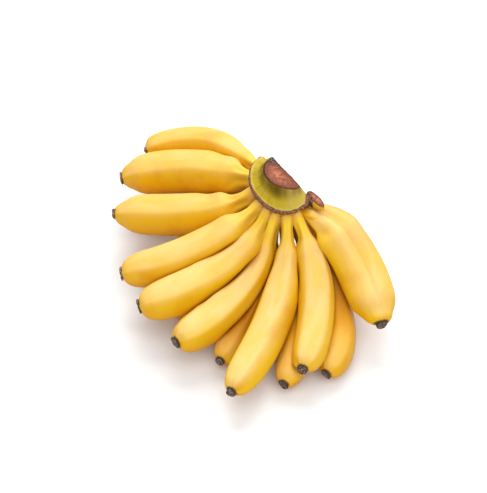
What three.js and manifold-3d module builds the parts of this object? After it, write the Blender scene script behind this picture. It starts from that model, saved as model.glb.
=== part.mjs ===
// A hand of baby bananas, cut from its stalk and set down on the fingers of its lower row.
// Millimetres, +Z up. The hand is laid out round the crown's upright axis. A turn is an angle
// seen from above, in degrees counterclockwise from the middle of the fan of fingers; a pitch
// is an angle above the horizontal. At the end the hand is moved so that the origin is under
// the middle of its box, on the ground.

import * as THREE from "three";
import { mergeVertices } from "three/addons/utils/BufferGeometryUtils.js";
import Module from "manifold-3d";

const wasm = await Module();
wasm.setup();

// ---- driving dimensions ----

const FAN_HEADING = -141; // where the middle of the fan points, counterclockwise from +X
const STALK_TOP = 120; // height of the stalk's cut face
const CROWN_TILT = 8; // the end of the crown by the twin finger hangs lower
const BACK_SLOPE = 29; // the knife's cut down the back leans out towards its foot
const BACK_SET = 1.5; // and passes this far behind the crown's axis at the top
const UPPER_ROOTS = -26; // height of the upper row's roots, from the stalk's cut face
const LOWER_ROOTS = -41;
const ROOT_INSET = 0.7; // a finger's middle line starts this far out, as a share of the crown's radius
const GAP = 0.3; // between a finger and its dried flower
const ROOT_GAP = 0.8; // between a finger and the crown
const ROOT_HOLLOW = 0.02; // depth of the hollow in the root end, as a share of the finger's length
const PRESS_GAP = 0.9; // twice the gap between fingers that lie against each other

const FRUIT_STARTS = 0.1; // a finger's stalk turns into fruit between these shares of its length
const FRUIT_FULL = 0.3;
const SPINE_PULL = 0.4; // how far each end's direction carries along the finger
const RIDGES = 5;
const RIDGE_HEIGHT = 0.03; // as a share of the finger's radius
const PEDICEL_FLATTENING = 0.2; // a finger's stalk is this much narrower and deeper than round
const TWIN_WIDTH = 1.25; // the twin finger's width and depth, against a round one
const TWIN_DEPTH = 0.9;
const TWIN_PEDICEL_WIDTH = 1.5;
const TWIN_GROOVE = 0.09; // depth of the groove between the twins, as a share of the radius
const TWIN_GROOVE_ANGLE = 49; // how far the groove reaches to each side
const BLOSSOM_RADIUS = 5;
const BLOSSOM_LENGTH = 3.2;

const CROWN_SIDES = 36;
const SHOULDER_SIDES = 18;
const FINGER_SIDES = 15; // three to each ridge
const FINGER_RINGS = 21;
const TIP_CROWDING = 0.45; // rings lie this much closer together at the tip than on average
const BLOSSOM_SIDES = 10;
const FINE_STEPS = 60; // sections a finger is measured with
const SETTLING_STEPS = 4; // rounds of lowering a finger on to the ground

// A finger's radius along its length: share of the length, share of the largest radius.
const FINGER_PROFILE = [
  [0, 0.42],
  [0.09, 0.35],
  [0.18, 0.39],
  [0.26, 0.62],
  [0.35, 0.86],
  [0.48, 0.98],
  [0.62, 1],
  [0.76, 0.99],
  [0.87, 0.92],
  [0.94, 0.77],
  [0.985, 0.53],
  [1, 0.34],
];

// The crown's outline from the cut face down: half-width along the back cut, depth in front of
// it, height.
const CROWN_PROFILE = [
  [0, 0, 0],
  [18, 15.3, 0],
  [18.8, 16.2, -1],
  [19.5, 17, -5],
  [22.5, 19.5, -10],
  [27.5, 24, -14],
  [29.5, 26, -15.5],
  [30, 26.5, -17],
  [29, 25.5, -18.5],
  [27.5, 24, -19.5],
  [27, 23, -27],
  [25, 21.5, -36],
  [20, 17, -44],
  [11, 9, -50],
  [0, 0, -52],
];

// The shoulder at the twin's end of the crown, with a small slanting cut across its top.
const SHOULDER_MIDDLE = new THREE.Vector3(-12, 26.5, -23.5);
const SHOULDER_SIZE = new THREE.Vector3(8.5, 14, 9);
const SHOULDER_CUT = new THREE.Vector3(-0.3, 0.1, 0.95).normalize();
const SHOULDER_CUT_HEIGHT = 6.5;

// Each finger runs from its root, a turn round the crown, to its tip: turn, reach from the
// crown's axis and height above the ground. leave and arrive: turn and pitch of its first and
// last stretch. ridge: angle of one of its ridges, from the top towards the side it turns
// counterclockwise to. A neck under 1 is a shorter one.
const UPPER_ROW = [
  {
    root: -92, leave: [-103, -15], tip: [-78, 164, 48], arrive: [-28, -12], radius: 14.8, ridge: 38,
    neck: 1.15,
  },
  {
    root: -70, leave: [-80, -27], tip: [-64, 164, 44], arrive: [-31, -8], radius: 18.8, ridge: 42,
    neck: 0.82,
  },
  {
    root: -30, leave: [-33, -37], tip: [-49, 155, 40], arrive: [-43, -4], radius: 17.1, ridge: 42,
    neck: 0.92,
  },
  {
    root: 4, leave: [-10, -36], tip: [-21, 148, 41], arrive: [-35, -8], radius: 17.6, ridge: 44,
    neck: 0.9,
  },
  {
    root: 26, leave: [5, -58], tip: [-6, 147, 37], arrive: [-32, -12], radius: 18.6, ridge: 40,
    neck: 0.95,
  },
  {
    root: 43, leave: [17, -68], tip: [13, 148, 34], arrive: [-4, 4], radius: 17.3, ridge: 48,
    neck: 1.1,
  },
  { root: 62, leave: [63, -56], tip: [36, 170, 30], arrive: [20, 0], radius: 16.1, ridge: 24 },
  { root: 82, leave: [92, -46], tip: [57, 143, 31], arrive: [30, 4], radius: 15.9, ridge: -34 },
  {
    root: 103, leave: [122, -18], tip: [91, 130, 37], arrive: [64, -10], radius: 17.4, ridge: -28,
    neck: 0.8, twin: true,
  },
];
const LOWER_ROW = [
  { root: -80, leave: [-110, -45], tip: [-86, 140, 15], arrive: [-45, 0], radius: 14.5, ridge: 0 },
  { root: -45, leave: [-56, -55], tip: [-59, 103, 15], arrive: [-52, 0], radius: 15, ridge: 0 },
  { root: 8, leave: [0, -65], tip: [-5, 118, 15], arrive: [-14, 5], radius: 15, ridge: 20 },
  { root: 42, leave: [31, -60], tip: [27, 132, 15], arrive: [20, 0], radius: 15, ridge: 20 },
  { root: 64, leave: [62, -64], tip: [51, 145, 15], arrive: [24, 3], radius: 14.5, ridge: 0 },
  { root: 84, leave: [98, -48], tip: [66, 139, 15], arrive: [18, 0], radius: 15, ridge: -33 },
  { root: 100, leave: [130, -50], tip: [93, 82, 15], arrive: [60, 0], radius: 13.5, ridge: 0 },
];

// ---- materials ----

const skin = new THREE.MeshStandardMaterial({ color: 0xf6c93f, roughness: 0.5, metalness: 0 });
const crownFlesh = new THREE.MeshStandardMaterial({ color: 0xa8a03c, roughness: 0.7, metalness: 0 });
const driedFlower = new THREE.MeshStandardMaterial({ color: 0x3a2e27, roughness: 0.9, metalness: 0 });

// ---- helpers ----

const { degToRad: radians, lerp, smoothstep } = THREE.MathUtils;
const UP = new THREE.Vector3(0, 0, 1);

// A unit vector at a turn and a pitch.
function heading(turn, pitch) {
  const level = Math.cos(radians(pitch));
  return new THREE.Vector3(
    level * Math.cos(radians(turn)),
    level * Math.sin(radians(turn)),
    Math.sin(radians(pitch)),
  );
}

// The value where a test turns from true to false, between one that passes and one that fails.
function boundary(test, yes, no) {
  for (let i = 0; i < 12; i++) {
    const middle = (yes + no) / 2;
    if (test(middle)) yes = middle;
    else no = middle;
  }
  return no;
}

function asSolid(geometry) {
  const bare = geometry.clone();
  bare.deleteAttribute("normal");
  bare.deleteAttribute("uv");
  const merged = mergeVertices(bare, 1e-3);
  return new wasm.Manifold(
    new wasm.Mesh({
      numProp: 3,
      vertProperties: merged.attributes.position.array,
      triVerts: new Uint32Array(merged.index.array),
    }),
  );
}

function asGeometry(solid) {
  const mesh = solid.getMesh();
  return new THREE.BufferGeometry()
    .setAttribute("position", new THREE.BufferAttribute(mesh.vertProperties, 3))
    .setIndex(new THREE.BufferAttribute(mesh.triVerts, 1));
}

// ---- crown ----

const crownPlace = new THREE.Matrix4()
  .makeTranslation(0, 0, STALK_TOP)
  .multiply(new THREE.Matrix4().makeRotationX(-radians(CROWN_TILT)));
const crownInverse = crownPlace.clone().invert();

// The half-width and depth of the crown at a height below its cut face.
function crownSize(height) {
  const below = CROWN_PROFILE.findIndex((row) => row[2] < height);
  if (below < 1) return [0, 0];
  const [wideAbove, deepAbove, top] = CROWN_PROFILE[below - 1];
  const [wideBelow, deepBelow, bottom] = CROWN_PROFILE[below];
  const share = (height - top) / (bottom - top);
  return [lerp(wideAbove, wideBelow, share), lerp(deepAbove, deepBelow, share)];
}

// Whether a point is inside the crown, before its back is cut, or within the gap round it.
function inCrown(point) {
  const local = point.clone().applyMatrix4(crownInverse);
  const [wide, deep] = crownSize(local.z);
  const inBody = Math.hypot(local.x / (deep + ROOT_GAP), local.y / (wide + ROOT_GAP)) < 1;
  const reach = SHOULDER_SIZE.clone().addScalar(ROOT_GAP);
  return inBody || local.sub(SHOULDER_MIDDLE).divide(reach).length() < 1;
}

function crownBody() {
  const upwards = CROWN_PROFILE.toReversed();
  const outline = upwards.map(([wide, , height]) => new THREE.Vector2(wide, height));
  const round = new THREE.LatheGeometry(outline, CROWN_SIDES).rotateX(Math.PI / 2);
  const place = round.attributes.position;
  for (let i = 0; i < place.count; i++) {
    const [wide, deep] = upwards[i % upwards.length];
    place.setX(i, (place.getX(i) * deep) / (wide || 1));
  }
  return asSolid(round);
}

// A block that stands on the plane through the origin square to a direction.
function knife(direction) {
  const size = 2 * STALK_TOP;
  const turned = new THREE.Quaternion().setFromUnitVectors(UP, direction);
  return new THREE.BoxGeometry(size, size, size).translate(0, 0, size / 2).applyQuaternion(turned);
}

function shoulderBody() {
  const { x, y, z } = SHOULDER_SIZE;
  const whole = new THREE.SphereGeometry(1, SHOULDER_SIDES, SHOULDER_SIDES / 2).scale(x, y, z);
  const cutMiddle = SHOULDER_CUT.clone().multiplyScalar(SHOULDER_CUT_HEIGHT);
  const top = knife(SHOULDER_CUT).translate(...cutMiddle);
  return asSolid(whole).subtract(asSolid(top)).translate(SHOULDER_MIDDLE.toArray());
}

function crownGeometry() {
  const back = knife(heading(180, BACK_SLOPE)).translate(-BACK_SET, 0, 0);
  const cut = crownBody().subtract(asSolid(back));
  return asGeometry(cut.add(shoulderBody())).applyMatrix4(crownPlace);
}

// ---- fingers ----

const profile = new THREE.SplineCurve(
  FINGER_PROFILE.map(([share, size]) => new THREE.Vector2(share, size)),
).getPoints(2 * FINE_STEPS);

// The share of its full radius that a finger has at a share of its length.
function girthAt(share) {
  const after = Math.max(1, profile.findIndex((point) => point.x >= Math.min(share, 1)));
  const [a, b] = [profile[after - 1], profile[after]];
  return lerp(a.y, b.y, (share - a.x) / (b.x - a.x));
}

// 0 in a finger's stalk, 1 in its fruit.
function fruitAt(share) {
  return smoothstep(share, FRUIT_STARTS, FRUIT_FULL);
}

// How wide and how deep a finger is at a share of its length, against a round one.
function stretchAt(finger, share) {
  const fruit = fruitAt(share);
  if (finger.twin) return [lerp(TWIN_PEDICEL_WIDTH, TWIN_WIDTH, fruit), TWIN_DEPTH];
  const flattening = PEDICEL_FLATTENING * (1 - fruit);
  return [1 - flattening, 1 + flattening];
}

// The middle line of a finger whose root is at a height on the crown.
function spineOf({ root, leave, tip: [turn, reach, height], arrive }, rootHeight) {
  const [wide, deep] = crownSize(rootHeight);
  const start = new THREE.Vector3(deep, wide, 0)
    .multiply(heading(root, 0))
    .multiplyScalar(ROOT_INSET)
    .setZ(rootHeight)
    .applyMatrix4(crownPlace);
  const end = heading(turn, 0).multiplyScalar(reach).setZ(height);
  const pull = SPINE_PULL * start.distanceTo(end);
  return new THREE.CubicBezierCurve3(
    start,
    start.clone().addScaledVector(heading(...leave), pull),
    end.clone().addScaledVector(heading(...arrive), -pull),
    end,
  );
}

// A finger's section at a share of its length: its middle, directions and size.
function sectionAt(finger, spine, share) {
  const along = spine.getTangentAt(share);
  const side = UP.clone().cross(along).normalize();
  const top = along.clone().cross(side);
  const [wide, deep] = stretchAt(finger, share);
  const radius = finger.radius * girthAt(share ** (finger.neck ?? 1));
  return { middle: spine.getPointAt(share), along, side, top, radius, wide, deep };
}

function sectionsOf(finger, spine) {
  return Array.from({ length: FINE_STEPS + 1 }, (_, i) => sectionAt(finger, spine, i / FINE_STEPS));
}

// The angles, from a finger's first ridge, of the lines that run along its skin.
const lineAngles = Array.from({ length: FINGER_SIDES }, (_, i) => (2 * Math.PI * i) / FINGER_SIDES);

// How far a point is outside a finger, or less than zero inside it.
function clearance(point, sections) {
  const offset = new THREE.Vector3();
  let least = Infinity;
  for (const { middle, along, side, top, radius, wide, deep } of sections) {
    offset.subVectors(point, middle);
    const size = Math.hypot(offset.dot(side) / wide, offset.dot(top) / deep, offset.dot(along));
    least = Math.min(least, size - radius);
  }
  return least;
}

// Draws a surface point in towards its finger's middle until it is clear of the neighbours,
// which give way by as much, so that fingers that lie together are flat against each other.
function pressedIn(point, middle, neighbours) {
  const close = neighbours.filter((sections) => clearance(point, sections) < PRESS_GAP);
  if (!close.length) return point;
  const depth = point.distanceTo(middle);
  const inwards = boundary((share) => {
    const tried = point.clone().lerp(middle, share);
    return Math.min(...close.map((sections) => clearance(tried, sections))) + share * depth < PRESS_GAP;
  }, 0, 1);
  return point.lerp(middle, inwards);
}

// The groove that runs from between the twins' stalks and fades out along their first ridge.
function twinGroove(share, fromRidge) {
  const nearest = Math.min(fromRidge, 2 * Math.PI - fromRidge);
  return TWIN_GROOVE * (1 - share) * Math.exp(-((nearest / radians(TWIN_GROOVE_ANGLE)) ** 4));
}

// The finger's skin at a share of its length and an angle round it from its first ridge.
function skinPoint(finger, spine, neighbours, share, fromRidge) {
  const { middle, side, top, radius, wide, deep } = sectionAt(finger, spine, share);
  const ridge = RIDGE_HEIGHT * fruitAt(share) * Math.cos(RIDGES * fromRidge);
  const groove = finger.twin ? twinGroove(share, fromRidge) : 0;
  const size = radius * (1 + ridge - groove);
  const angle = fromRidge + radians(finger.ridge);
  const point = middle
    .clone()
    .addScaledVector(side, size * wide * Math.sin(angle))
    .addScaledVector(top, size * deep * Math.cos(angle));
  return pressedIn(point, middle, neighbours);
}

// The share of its length where a line that starts in the crown leaves it for good.
function leavesCrown(pointAt) {
  const inside = (share) => inCrown(pointAt(share));
  const step = 1 / (2 * FINE_STEPS);
  let share = FRUIT_FULL;
  while (share > 0 && !inside(share)) share -= step;
  return boundary(inside, share, share + step);
}

// The share of a finger's length at a ring: the last rings are the closest together.
function ringShare(ring) {
  const even = ring / (FINGER_RINGS - 1);
  return even + (TIP_CROWDING * Math.sin(Math.PI * even)) / Math.PI;
}

// Each line along the finger starts where it and the lines beside it are out of the crown, and
// the rings even out from there.
function fingerGeometry(finger, spine, neighbours) {
  const exits = lineAngles.map((angle) => {
    return leavesCrown((share) => skinPoint(finger, spine, neighbours, share, angle));
  });
  const lines = lineAngles.map((angle, i) => {
    const exit = Math.max(exits.at(i - 1), exits[i], exits[(i + 1) % FINGER_SIDES]);
    return Array.from({ length: FINGER_RINGS }, (_, ring) => {
      const share = ringShare(ring);
      return skinPoint(finger, spine, neighbours, share + exit * (1 - share) ** 4, angle);
    });
  });
  const leaves = leavesCrown((share) => spine.getPointAt(share));
  return closedTube(lines, spine.getPointAt(leaves + ROOT_HOLLOW), spine.getPointAt(1));
}

// A closed tube through lines of points that run from one end to the other.
function closedTube(lines, startMiddle, endMiddle) {
  const rings = lines[0].length;
  const points = [...lines.flat(), startMiddle, endMiddle];
  const [start, end] = [points.length - 2, points.length - 1];
  const index = lines.flatMap((_, i) => {
    const here = i * rings;
    const next = ((i + 1) % lines.length) * rings;
    const strip = [start, here, next, end, next + rings - 1, here + rings - 1];
    for (let ring = 0; ring + 1 < rings; ring++) {
      const [a, b, c, d] = [here + ring, here + ring + 1, next + ring + 1, next + ring];
      strip.push(a, b, c, a, c, d);
    }
    return strip;
  });
  return new THREE.BufferGeometry().setFromPoints(points).setIndex(index);
}

// The dried flower at a finger's tip: a short nub with a rounded end.
function blossomGeometry(spine) {
  const outline = [
    [0, 0],
    [0.95, 0],
    [1, 0.4],
    [0.85, 0.8],
    [0.5, 1],
    [0, 1],
  ].map(([out, along]) => new THREE.Vector2(out * BLOSSOM_RADIUS, along * BLOSSOM_LENGTH + GAP));
  const along = spine.getTangentAt(1);
  const turned = new THREE.Quaternion().setFromUnitVectors(new THREE.Vector3(0, 1, 0), along);
  const nub = new THREE.LatheGeometry(outline, BLOSSOM_SIDES);
  return nub.applyQuaternion(turned).translate(...spine.getPointAt(1));
}

// The finger with its tip lowered or lifted until the finger just touches the ground.
function settled(finger, rootHeight) {
  const shares = Array.from({ length: FINE_STEPS + 1 }, (_, i) => i / FINE_STEPS);
  let rested = finger;
  for (let i = 0; i < SETTLING_STEPS; i++) {
    const spine = spineOf(rested, rootHeight);
    const heights = shares.flatMap((share) => {
      return lineAngles.map((angle) => skinPoint(rested, spine, [], share, angle).z);
    });
    const [turn, reach, height] = rested.tip;
    rested = { ...rested, tip: [turn, reach, height - Math.min(...heights)] };
  }
  return rested;
}

// ---- the hand ----

const fingers = [
  ...UPPER_ROW.map((finger, i) => ({ name: `upper_${i + 1}`, finger, height: UPPER_ROOTS })),
  ...LOWER_ROW.map((finger, i) => ({
    name: `lower_${i + 1}`,
    finger: settled(finger, LOWER_ROOTS),
    height: LOWER_ROOTS,
  })),
].map(({ name, finger, height }) => {
  const spine = spineOf(finger, height);
  return { name, finger, spine, sections: sectionsOf(finger, spine) };
});

function named(name, geometry, material) {
  const mesh = new THREE.Mesh(geometry, material);
  mesh.name = name;
  return mesh;
}

const hand = new THREE.Group();
hand.add(named("crown", crownGeometry(), crownFlesh));
for (const { name, finger, spine } of fingers) {
  const neighbours = fingers.filter((other) => other.name !== name).map((other) => other.sections);
  hand.add(named(`finger_${name}`, fingerGeometry(finger, spine, neighbours), skin));
  hand.add(named(`blossom_${name}`, blossomGeometry(spine), driedFlower));
}
hand.rotation.z = radians(FAN_HEADING);
const box = new THREE.Box3().setFromObject(hand, true);
hand.position.copy(box.getCenter(new THREE.Vector3()).negate()).setZ(-box.min.z);

export default hand;
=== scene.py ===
import itertools
import math

import bmesh
import bpy
import numpy as np
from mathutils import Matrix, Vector


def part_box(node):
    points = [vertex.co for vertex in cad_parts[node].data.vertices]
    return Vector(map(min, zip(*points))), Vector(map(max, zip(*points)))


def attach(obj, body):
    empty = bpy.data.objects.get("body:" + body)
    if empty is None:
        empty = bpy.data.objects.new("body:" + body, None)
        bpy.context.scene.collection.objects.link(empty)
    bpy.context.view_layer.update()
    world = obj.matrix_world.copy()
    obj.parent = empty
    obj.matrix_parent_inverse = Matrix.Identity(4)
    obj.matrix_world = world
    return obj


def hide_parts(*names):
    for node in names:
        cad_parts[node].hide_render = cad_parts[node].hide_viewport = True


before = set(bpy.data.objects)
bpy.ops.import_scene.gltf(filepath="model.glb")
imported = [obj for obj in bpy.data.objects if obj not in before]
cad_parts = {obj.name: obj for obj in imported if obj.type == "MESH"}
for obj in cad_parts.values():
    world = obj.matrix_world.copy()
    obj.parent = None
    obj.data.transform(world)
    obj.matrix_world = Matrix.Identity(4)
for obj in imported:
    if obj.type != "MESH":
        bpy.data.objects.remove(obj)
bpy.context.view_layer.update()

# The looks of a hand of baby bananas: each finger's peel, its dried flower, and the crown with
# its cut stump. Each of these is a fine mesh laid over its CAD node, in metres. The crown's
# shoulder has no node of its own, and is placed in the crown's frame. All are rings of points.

MM = 0.001
WELD = 0.01 * MM

# ---- sizes of the fingers ----

FINGER_LINES = 15  # lines along a CAD finger
FINGER_RINGS = 21
LINES_PER_RIDGE = 3
PEEL_LINES = 90
PEEL_RINGS = 132
SKIN_RADIUS = 16 * MM  # of the plain tube that the skin's pattern is laid out on
ROOT_DEPTH = 8 * MM  # how far a finger carries on inside the crown
ROOT_STEPS = 6
# Ranges are where something starts and where it is full, as fade() takes them.
BODY_RANGE = (14 * MM, 34 * MM)  # from the root, where the stalk widens into the body
RIDGE_SHARPENING = 0.35 * MM
VALLEY_SHARE = 0.25  # how far the skin sinks between two ridges, as a share of the sharpening
PEDICEL_RIDGES = 0.45 * MM
PEDICEL_RIDGE_RANGE = (0, 6 * MM)
# Changes of every finger's thickness: how far out, how far from its root, and over what length.
NECK_SHAPE = np.array([(1.2, 0, 6), (0.6, 14, 7), (2.2, 29, 9)]) * MM
# Necks that are pinched, and how deep on each side of the top ridge, in millimetres.
PINCHES = {"upper_2": (2.6, 2.6), "upper_3": (2.2, 1.6), "upper_8": (0, 1.2), "upper_9": (3.5, 0)}
PINCH_PLACE = 18 * MM  # from the root
PINCH_REACH = 7 * MM
PINCH_SIDE_RANGE = (-0.2, 0.8)  # in sines of the angle from the top ridge
# How much fuller a finger's body is, and how much slimmer just short of its tip.
PLUMP = {"upper_2": 1.7 * MM, "upper_3": 1.7 * MM}
PLUMP_ROOT_RANGE = (40 * MM, 60 * MM)
PLUMP_TIP_RANGE = (5 * MM, 30 * MM)
SLIM_ENDS = {"upper_2": 1.4 * MM, "upper_3": 1.4 * MM, "upper_9": 2.4 * MM}
SLIM_END_PLACE = 11 * MM  # from the tip
SLIM_END_REACH = 9 * MM
TIP_TAPER = 1.3 * MM
TIP_TAPER_REACH = 8 * MM
TIP_PUCKERS = 0.35 * MM
TIP_PUCKER_REACH = 4 * MM
TIP_PUCKER_SIZE = 6 * MM
TIP_PUCKER_LEVEL = 0.4  # the puckers pull in more than they stand out
# The skin's dents and ripples: how deep, how large, and what lengths are shrunk to for them.
PEEL_GRAINS = [(0.35 * MM, 16 * MM, 0.6), (0.07 * MM, 3 * MM, 0.4)]
SMOOTH_TIP_RANGE = (0, 8 * MM)
FLOOR_GAP = 0.02 * MM

# The twin is two fingers grown together under one skin.
TWIN = "upper_9"
TWIN_GROOVE = 3.8 * MM
TWIN_GROOVE_PLACE = -0.52  # in radians round the finger from its top ridge
TWIN_GROOVE_REACH = 0.24
TWIN_GROOVE_LINE = 0.09  # the reach of the painted shade along its bottom
TWIN_RIDGE = 0.8 * MM
# Ranges of the twin's length, as shares from its root.
TWIN_GROOVE_RANGE = (0.85, 0.35)
TWIN_GROOVE_LINE_RANGE = (0.95, 0.6)
TWIN_RIDGE_RANGE = (0.55, 0.8)
# The twin is coloured as the others are this many millimetres further from the root.
TWIN_HEAD_START = 40

# How ripe, and so how orange, each row gets, and its range along the row in finger numbers. The lower
# row's starts beyond its end. The deeper orange stands for ripeness and also paints shade, most of all
# on the lower row, which lies under the upper one.
RIPENESS_AND_SHADE = {"upper": (0.28, 7, 1), "lower": (0.9, 10, 5)}
SHADE_AT_TIP = 0.4  # share of a lower finger's deep colour at its tip, against further up, where it lies in painted shade
SHADE_TIP_RANGE = (10 * MM, 55 * MM)
# How far from its tip a lower finger's painted shade starts, and over what length it deepens.
SHADE_START = 35 * MM
SHADE_STARTS = {"lower_4": 0}
SHADE_REACH = 45 * MM
CREVICE_PLACE = 10 * MM  # from the root, where the necks press together and shade is painted
CREVICE_REACH = 14 * MM
CREVICE_SIDE_RANGE = (0.8, 1)  # in sines of the angle from the top ridge
# How steeply the skin has to face up or down to get the painted highlight on top or the painted shade
# underneath.
UPWARDS_RANGE = (0.35, 1.0)
DOWNWARDS_RANGE = (-0.45, 0.5)
SHEEN_DULLING = 1.1  # how much the painted highlight fades on riper and shaded skin

# ---- sizes of the dried flowers ----

BLOSSOM_LINES = 72
# A flower's section: distance out, as a share of its radius, and height in steps.
BLOSSOM_PROFILE = np.array([
    (0.96, -1.4), (1.06, -0.4), (1.08, 0.3), (1.02, 1.0),  # its outside
    (0.95, 1.6), (0.85, 1.9), (0.74, 1.6), (0.64, 1.1),  # over its rim
    (0.5, 1.0), (0.4, 1.5), (0.28, 2.2), (0.12, 2.5),  # up the style's stub
])
BLOSSOM_STEP = 0.45 * MM
BLOSSOM_FINENESS = 3  # rings for each point of the section
BLOSSOM_OVAL = 0.16
BLOSSOM_RAGGEDNESS = 0.16
BLOSSOM_RAG_RADIUS = 4 * MM  # of the circle that its ragged outline is read on
BLOSSOM_RAG_SIZE = 3 * MM
BLOSSOM_SHARE = 0.9  # of the finger's width at its end
BLOSSOM_ROUGHNESS = 0.45 * MM
BLOSSOM_ROUGH_RANGE = (-0.5 * MM, 1 * MM)  # in height
BLOSSOM_FOLD_SIZE = 3.2 * MM
BLOSSOM_GRIT_SIZE = 0.9 * MM
BLOSSOM_GRIT = 0.05
WEATHERED_NUMBERS = (6, 4)  # the range along the upper row, in finger numbers
BLOSSOM_DEPTH = 1.2 * MM  # how far it reaches into the finger

# ---- sizes of the crown, in its own frame ----

CROWN_LINES = 300
# What the CAD crown's cut face, its flat back and its levels are told by.
CUT_FACE_RISE = 0.985
CUT_FACE_DROP = 6 * MM
BACK_FACING = -0.8
BACK_SLANT = 0.02
LEVEL_SLACK = 0.1 * MM
LEVEL_HALF = 0.06 * MM
PROFILE_STEP = 0.45 * MM
CORNER_ROUNDING = 0.5 * MM
# The edge between the crown's sides and the cut down its back.
BACK_ROUNDING = 4.8 * MM
BACK_EASING = 0.72 * MM
BACK_SOFTNESS = 0.5 * MM
BACK_LEAST = 0.02  # how far back a direction has to point to meet the cut
MIDDLE_SHIFT = 0.1  # of each level's middle, as a share of its depth
FACE_STEPS = 26
FACE_CENTRE = np.array([5.5, 0, 0]) * MM
TURN_CENTRE = 5 * MM  # turns round the crown are measured this far in front of its axis
TURN_RADIUS = 20 * MM  # of the plain tube that the collar's streaks are laid out on
STUMP_HOLLOW = 1.0 * MM
STUMP_RIND = 0.5 * MM
STUMP_FLATTENING = 0.2
STUMP_STRETCH = 0.14
COLLAR_LOBE = 2 * MM
COLLAR_LOBE_TURN = 0.9
COLLAR_LOBE_REACH = 0.7
COLLAR_SAG = 2.5 * MM
COLLAR_LIFT = 6 * MM
COLLAR_END = -2 * MM
COLLAR_END_RANGE = (14 * MM, 24 * MM)  # away from the twin
STRETCH_SHARE = 0.7  # of the half-width, where the stump's new shape is full
LIFT_SHARE = 0.2  # of the half-width, where the collar's lift starts
CUT_SOFTNESS = 0.3 * MM  # half the width over which a cut's colour ends
FAR = 1.0  # beyond every part of the crown
NUB_PLACE = np.array([-0.6, -16, 0]) * MM
NUB_HEIGHT = 1.8 * MM
NUB_REACH = 3.4 * MM
RIM_THIN = 1.8 * MM
RIM_THICK = 2.6 * MM
END_SCAR_ACROSS = np.array([-0.77, 0.64])
END_SCAR_PLACE = 20.3 * MM
END_SCAR_FADE = 0.8 * MM
RIM_TURN_RANGE = (-1.6, 0.2)  # from the thin part of the rim to the thick one
ROOT_SWELL = 1.6 * MM
ROOT_SWELL_REACH = 0.13  # in radians round the crown
# Ranges below the cut face.
CUT_EDGE_RANGE = (0.3 * MM, 1.2 * MM)
BACK_EDGE_RANGE = (0, 6 * MM)  # over which the back's cut gets its orange
SLOPE_MARGIN = 0.5 * MM  # between the collar's slope and the cut above, and the scar below
UNDER_RANGE = (2 * MM, 7 * MM)  # below the rim
# The collar's fronts, where shade is painted: how much, at which turn, and how far round.
COLLAR_FRONTS = [(1, 0.75, 0.5), (0.45, -0.4, 0.6)]
RIND_PLACE = 0.95  # as a share of the way from the middle of the cut to its edge
RIND_REACH = 0.04
NUB_RANGE = (0.15, 0.5)
# Rough surfaces: the depth, size and seed of each grain. The nub's depth is a share of its height.
CUT_GRAINS = [(0.3 * MM, 1.6 * MM, 5), (0.5 * MM, 5 * MM, 6)]
STREAK_GRAINS = [(0.08 * MM, 1.6 * MM, 7)]
BARK_GRAINS = [(0.3 * MM, 1.2 * MM, 8), (0.7 * MM, 5 * MM, 9)]
FLESH_GRAINS = [(0.3 * MM, 7 * MM, 10)]
BACK_GRAINS = [(0.3 * MM, 2 * MM, 11), (0.5 * MM, 7 * MM, 12)]
NUB_GRAINS = [(0.5, 1.5 * MM, 13)]
SHOULDER_CUT_GRAINS = [(0.45 * MM, 1.5 * MM, 21), (0.6 * MM, 4 * MM, 22)]
SHOULDER_SKIN_GRAINS = [(0.4 * MM, 5 * MM, 23)]
STREAK_STRETCH = (1, 1, 0.15)
STREAK_RANGE = (0.2, 0.9)
BARK_THICKNESS = 0.3 * MM

# The shoulder by the twin, with the small second cut across its top.
SHOULDER_MIDDLE = np.array([-13.5, 29.5, -21.6]) * MM
SHOULDER_SIZE = np.array([5.4, 13.6, 9]) * MM
SHOULDER_CUT = np.array([-0.3, 0.1, 0.95])
SHOULDER_CUT_HEIGHT = 6.5 * MM
SHOULDER_CUT_ROUNDING = 1.5 * MM
SHOULDER_CUT_EASING = 0.35 * MM
SHOULDER_LIP = 0.5 * MM
SHOULDER_LIP_REACH = 0.8 * MM
SHOULDER_RIM_REACH = 1.2 * MM
SHOULDER_COLLAR = 0.8  # how much of the skin along the cut is coloured as the collar is
SHOULDER_COLLAR_REACH = 3 * MM
SHOULDER_SLIMMING = 0.42  # of the shoulder's size below its cut
SHOULDER_SLIM_RANGE = (0.6, -0.2)  # in cosines of the angle from the cut's own up
SHOULDER_LEAST = 0.05  # how far a direction has to rise to meet the cut
SHOULDER_SCAR_END = 29 * MM  # along the crown's back, and it fades out further on
SHOULDER_SCAR_FADE = 5 * MM
SHOULDER_ORANGE = 0.3  # how far past the cut the oval reaches where it is orange, as a share
# Marks that are the same all over it.
SHOULDER_MARKS = {"turn": 1.5, "slope": 1, "front": 0, "nub": 0, "crease_shade": 0.3}
SHOULDER_LINES = 96
SHOULDER_RINGS = 60

# ---- colours, linear red, green and blue ----

RIPE = (0.735, 0.43, 0.006)
# Pale skin in random patches, and the painted highlight on top.
RIPE_PALE_AND_HIGHLIGHT = (0.76, 0.53, 0.21)
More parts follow.
